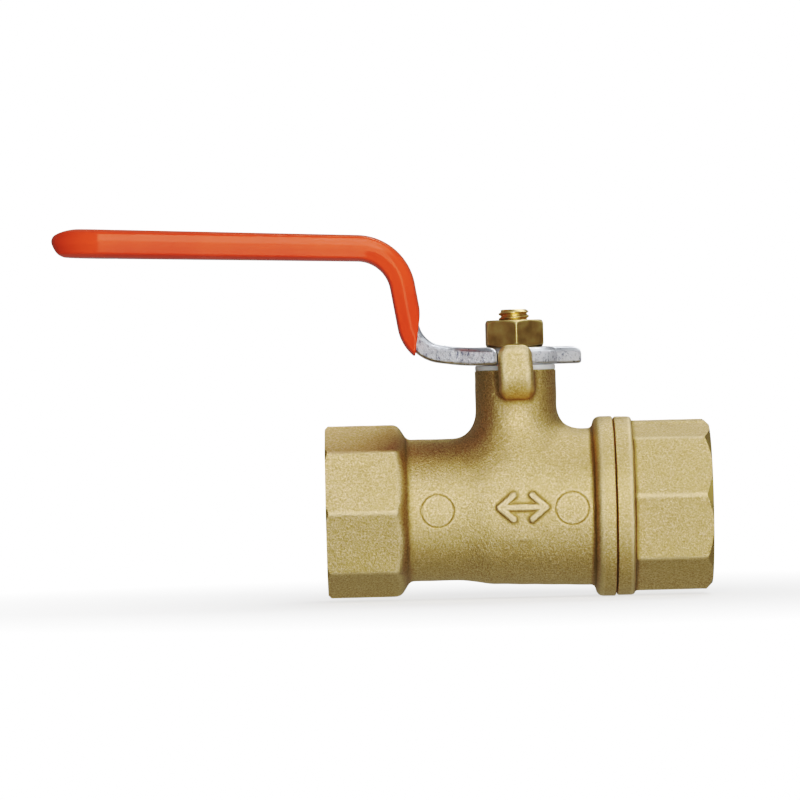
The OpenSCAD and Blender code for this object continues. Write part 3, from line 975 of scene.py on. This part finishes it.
def make_nut():
    """Hexagonal nut, coned at both ends, with a helical thread in its bore."""
    low, high = NUT_LOW[2], NUT_HIGH[2]
    corner = NUT_AF / math.sqrt(3)

    def field(x, y, z):
        r = np.hypot(x, y)
        hexagon = polygon_field(x, y, 6, NUT_AF, NUT_TURN, 0.25)
        ends = np.maximum(z - high, low - z)
        cones = np.maximum(slant(r, z, (corner, high), (0.5, 0.866)),
                           slant(r, z, (corner, low), (0.5, -0.866))) + 0.42
        return soft_common(soft_common(hexagon, cones, 0.15), ends, 0.12)

    across = grid_lines(-corner - 0.3, corner + 0.3, 0.1)
    nut = field_object("nut_drawn", field, across, across,
                       grid_lines(low - 0.3, high + 0.3, 0.1), [NUT_METAL])
    bore_r = STEM_THREAD_R - STEM_DEPTH + 0.06
    mouth_r = STEM_THREAD_R + 0.25
    bore = [(low - 1, mouth_r), (low, mouth_r), (low + 0.5, bore_r),
            (high - 0.5, bore_r), (high, mouth_r), (high + 1, mouth_r)]
    thread = {"pitch": STEM_PITCH, "base": bore_r, "depth": STEM_DEPTH,
              "span": (low, high), "fade": (0, 0)}
    combine(nut, lathe("nut_bore", bore, "Z", [NUT_METAL], thread=thread), "DIFFERENCE")
    settle(shade(nut), "lever_and_stem", "nut_brass", "lever_nut")


# ---------------------------------------------------------------- lever and sleeve

def lever_stretches():
    """The path's stretches from the head to past the tip: (length, first angle, last
    angle), with angles above the horizontal in radians."""
    lift, riser, arm = (math.radians(a) for a in (LIFT_ANGLE, RISER_ANGLE, ARM_ANGLE))
    return [(LIFT_START, 0, 0), (LIFT_R * lift, 0, lift), (LIFT_STRAIGHT, lift, lift),
            (RISER_BEND_R * (riser - lift), lift, riser), (RISER_LENGTH, riser, riser),
            (ARM_BEND_R * (riser - arm), riser, arm), (2 * SLEEVE_REACH, arm, arm)]


def bend_plate(s, t):
    """X and Z of a point s along the lever and t above its middle plane."""
    x, z = -np.minimum(s, 0.0), np.full_like(s, PLATE_Z + PLATE_T / 2)
    angle = np.zeros_like(s)
    start = 0.0
    for length, a0, a1 in lever_stretches():
        along = np.clip(s - start, 0, length)
        if a0 == a1:
            x, z = x - np.cos(a0) * along, z + np.sin(a0) * along
            here = np.full_like(s, a0)
        else:
            rate = (a1 - a0) / length
            here = a0 + rate * along
            x = x - (np.sin(here) - np.sin(a0)) / rate
            z = z + (np.cos(a0) - np.cos(here)) / rate
        angle = np.where(s > start, here, angle)
        start += length
    return x + t * np.sin(angle), z + t * np.cos(angle)


def arm_outline(x, y, grow, reach):
    """Plan of the arm, grown sideways and past its round tip."""
    tip_r = TIP_HALF + grow
    tip_x = LEVER_LOW[0] - reach + tip_r
    half = ARM_HALF + grow + (tip_r - ARM_HALF - grow) * np.clip(x / tip_x, 0, 1)
    bar = np.maximum(np.abs(y) - half, x)
    return np.minimum(np.maximum(bar, tip_x - x), np.hypot(x - tip_x, y) - tip_r)


def lever_outline(x, y):
    """Plan of the lever: round head with its notch, and the arm."""
    outline = soft_union(np.hypot(x, y) - HEAD_R, arm_outline(x, y, 0, 0), 1.5)
    quarter = np.maximum(NOTCH_X - x, y - NOTCH_Y)
    notch = soft_common(quarter, NOTCH_R - np.hypot(x, y), 0.25)
    outline = soft_common(outline, -notch, 0.6)
    hole = soft_common(np.hypot(x, y) - DD_R - 0.05, np.abs(y) - DD_HALF - 0.05, 0.2)
    return np.maximum(outline, -hole)


def tip_field(x, t):
    """The tip seen from the side: a blunt wedge, undercut more than it is sloped on top."""
    ahead = x - LEVER_LOW[0] + SLEEVE_NOSE + TIP_ROUND
    undercut = slant(ahead, t, (0, 0.6), (-0.84, -0.55))
    crown = slant(ahead, t, (0, 1.0), (-0.4, 0.92))
    return soft_common(undercut, crown, 0.9)


def lever_field(s, y, t):
    """Lever in its flat state: s along it, y across it and t through it. The punch
    rolled its edges over, most of all on top of the head."""
    x, _ = bend_plate(s, np.zeros_like(s))
    outline = lever_outline(x, y)
    top_roll = TOP_ROLL + HEAD_TOP_ROLL * smooth(x, -12, -4)
    sheet = soft_common(outline, t - PLATE_T / 2, top_roll)
    sheet = soft_common(sheet, -t - PLATE_T / 2, BOTTOM_ROLL)
    return soft_common(sheet, tip_field(x, t) + 0.7, 0.5)


def sleeve_field(s, y, t):
    """Sleeve in the lever's flat state. Its wall thickens towards the tip, and its open
    end is cut along a slanted line."""
    x, z = bend_plate(s, t)
    middle_x, _ = bend_plate(s, np.zeros_like(s))
    full_x = LEVER_LOW[0] - 0.6
    along = np.clip((middle_x - SLEEVE_THICKENS_X) / (full_x - SLEEVE_THICKENS_X), 0, 1)
    wall = SLEEVE_T + (SLEEVE_TIP_T - SLEEVE_T) * along
    skin = soft_common(arm_outline(middle_x, y, SLEEVE_TIP_T, SLEEVE_NOSE),
                       np.hypot(t, 0.35) - 0.03 - PLATE_T / 2 - wall, 3.0)
    metal = lever_field(s, y, t)
    skin = soft_common(skin, tip_field(middle_x, t), 1.0)
    skin = soft_union(skin, metal - LEAST_SKIN, 0.4)
    cut = ((x - SLEEVE_START[0]) * math.cos(SLEEVE_LEAN)
           - (z - SLEEVE_START[1]) * math.sin(SLEEVE_LEAN))
    return np.maximum(soft_common(skin, cut, 0.35), -metal)


def bent_object(name, field, ss, ys, ts, materials):
    """Object made in the lever's flat state and then bent along its path."""
    vertices, quads = surface_net(field, ss, ys, ts)
    s, y, t = vertices.T
    marks = {"turn": bend_of(field, vertices, 0.3)}
    slope = gradient(field, vertices)
    flatness = np.abs(slope[:, 2]) / np.maximum(np.linalg.norm(slope, axis=1), 1e-6)
    marks["sheared"] = (1 - smooth(flatness, 0.25, 0.6)) * (1 - smooth(t, 0.5, 1.1))
    x, z = bend_plate(s, t)
    return make_object(name, np.stack([x, y, z], 1), quads[:, ::-1], materials, marks)


def make_lever():
    """Steel lever, stamped flat and bent."""
    ss = grid_lines(-HEAD_R - 0.6, path_length(LEVER_LOW[0]) + 0.6, 0.3)
    ys = grid_lines(-HEAD_R - 0.5, HEAD_R + 0.5, 0.24)
    ts = grid_lines(-PLATE_T / 2 - 0.3, PLATE_T / 2 + 0.3, 0.16)
    lever = bent_object("lever_stamping", lever_field, ss, ys, ts, [ZINC])
    settle(shade(lever, 50), "lever_and_stem", "zinc_plated_steel", "lever")


def make_sleeve():
    """Vinyl sleeve around the lever's riser and arm, on finer grids at both its ends."""
    half = TIP_HALF + SLEEVE_TIP_T + 0.4
    thick = PLATE_T / 2 + SLEEVE_TIP_T + 0.3
    end = path_length(LEVER_LOW[0])
    ss = grid_lines(15.0, end + SLEEVE_NOSE + 0.6, 0.3, [(15, 28, 0.16), (end - 4, end + 2, 0.16)])
    sleeve = bent_object("sleeve_dip", sleeve_field, ss, grid_lines(-half, half, 0.21),
                         grid_lines(-thick, thick, 0.14), [VINYL])
    settle(shade(sleeve, 50), "lever_and_stem", "red_vinyl", "lever_sleeve")


def path_length(x):
    """How far along the path its middle plane comes to an X past the arm's bend."""
    total = sum(length for length, _, _ in lever_stretches()[:-1])
    end_x, _ = bend_plate(np.array([total]), np.zeros(1))
    return total + (end_x[0] - x) / math.cos(math.radians(ARM_ANGLE))


# ---------------------------------------------------------------- stage, light and camera

def floor_material():
    """Pale paper near the valve that fades into an evenly lit white sweep."""
    s = Shader("floor_paper", Metallic=0.0)
    s.set("Base Color", s.ramp(s.noise(40, 3), [(0.3, (0.84, 0.84, 0.84)),
                                                (0.7, (0.88, 0.88, 0.88))]))
    s.set("Roughness", s.spread(s.noise(300, 2), 0.3, 0.7, 0.75, 0.9))
    s.set("Normal", s.bump(s.noise(900, 3), 0.05, 0.0001))
    distance = s.add("ShaderNodeVectorMath", operation="LENGTH")
    s.link(s.place, distance.inputs[0])
    sweep = s.spread(distance.outputs["Value"], 0.03, 0.13, 0.45, 1)
    glow = s.add("ShaderNodeEmission")
    mix = s.add("ShaderNodeMixShader")
    s.link(sweep, mix.inputs["Fac"])
    s.link(s.bsdf.outputs["BSDF"], mix.inputs[1])
    s.link(glow.outputs["Emission"], mix.inputs[2])
    s.link(mix.outputs["Shader"], s.nodes["Material Output"].inputs["Surface"])
    return s.material


def backdrop_material():
    """Plain white glow."""
    s = Shader("backdrop_white", Metallic=0.0)
    glow = s.add("ShaderNodeEmission")
    s.link(glow.outputs["Emission"], s.nodes["Material Output"].inputs["Surface"])
    return s.material


def make_stage():
    """A floor, and a white surround that only the camera sees."""
    z = BODY_LOW[2] - 0.05
    half = 2500.0
    floor = make_object("floor", [(-half, -half, z), (half, -half, z), (half, half, z),
                                  (-half, half, z)], [(0, 1, 2, 3)], [floor_material()])
    box_low, box_high = (-2 * half,) * 3, (2 * half,) * 3
    surround = box_object("surround", box_low, box_high, [backdrop_material()])
    for piece in (floor, surround):
        piece.visible_diffuse = False
        piece.visible_glossy = False
        piece.visible_shadow = False


def area_light(name, azimuth, elevation, distance, size, power):
    """White softbox that faces the valve, with its distance and size in millimetres and
    its power in watts. Azimuth 0 is the camera's side and 90 is +X."""
    data = bpy.data.lights.new(name, "AREA")
    data.shape = "RECTANGLE"
    data.size, data.size_y = size[0] * MM, size[1] * MM
    data.energy = power
    light = bpy.data.objects.new(name, data)
    bpy.context.scene.collection.objects.link(light)
    light.visible_camera = False
    a, e = math.radians(azimuth), math.radians(elevation)
    way = Vector((math.sin(a) * math.cos(e), -math.cos(a) * math.cos(e), math.sin(e)))
    light.location = LIGHT_TARGET + way * distance * MM
    light.rotation_euler = way.to_track_quat("Z", "Y").to_euler()
    return light


def make_lights():
    """Tall soft key beside the camera, a strip above it, and weak fills around."""
    area_light("key_tall", 7, -6, 900, (440, 1350), 3.3)
    area_light("key_strip", 9, 42, 900, (420, 400), 1.7)
    area_light("top_back_softbox", 150, 58, 800, (460, 300), 1.15)
    area_light("under_fill", 10, -62, 900, (600, 400), 0.28)
    area_light("under_back_fill", 180, -48, 900, (900, 400), 0.2)
    area_light("right_fill", 95, 20, 900, (400, 700), 0.14)
    world = bpy.data.worlds.new("studio")
    bpy.context.scene.world = world
    world.use_nodes = True
    background = world.node_tree.nodes["Background"]
    background.inputs["Color"].default_value = (1, 1, 1, 1)
    background.inputs["Strength"].default_value = 0.12


def set_tone():
    """Contrast of a studio photograph: a short toe and a long shoulder."""
    view = bpy.context.scene.view_settings
    view.view_transform = "Standard"
    view.use_curve_mapping = True
    curve = view.curve_mapping.curves[3]
    for x, y in ((0.035, 0.028), (0.11, 0.20), (0.19, 0.37), (0.384, 0.62), (0.65, 0.84)):
        curve.points.new(x, y)
    view.curve_mapping.update()


def make_camera():
    """Long lens at the height of the view's middle, level and rolled a little."""
    distance, frame_width, sensor = 1000.0, 128.5, 36.0
    aim_x, aim_z, roll = -18.6, 17.8, math.radians(-1.37)
    data = bpy.data.cameras.new("camera")
    data.sensor_width = sensor
    data.lens = sensor * distance / frame_width
    data.clip_start, data.clip_end = 0.01, 20
    camera = bpy.data.objects.new("camera", data)
    bpy.context.scene.collection.objects.link(camera)
    turn = Matrix.Rotation(math.radians(90), 4, "X") @ Matrix.Rotation(roll, 4, "Z")
    camera.matrix_world = Matrix.Translation((aim_x * MM, -distance * MM, aim_z * MM)) @ turn
    bpy.context.scene.camera = camera


make_camera()
make_lights()
make_stage()
set_tone()
make_valve_body()
make_end_cap()
make_ball()
make_seats()
make_washers()
make_o_rings()
make_stem()
make_nut()
make_lever()
make_sleeve()
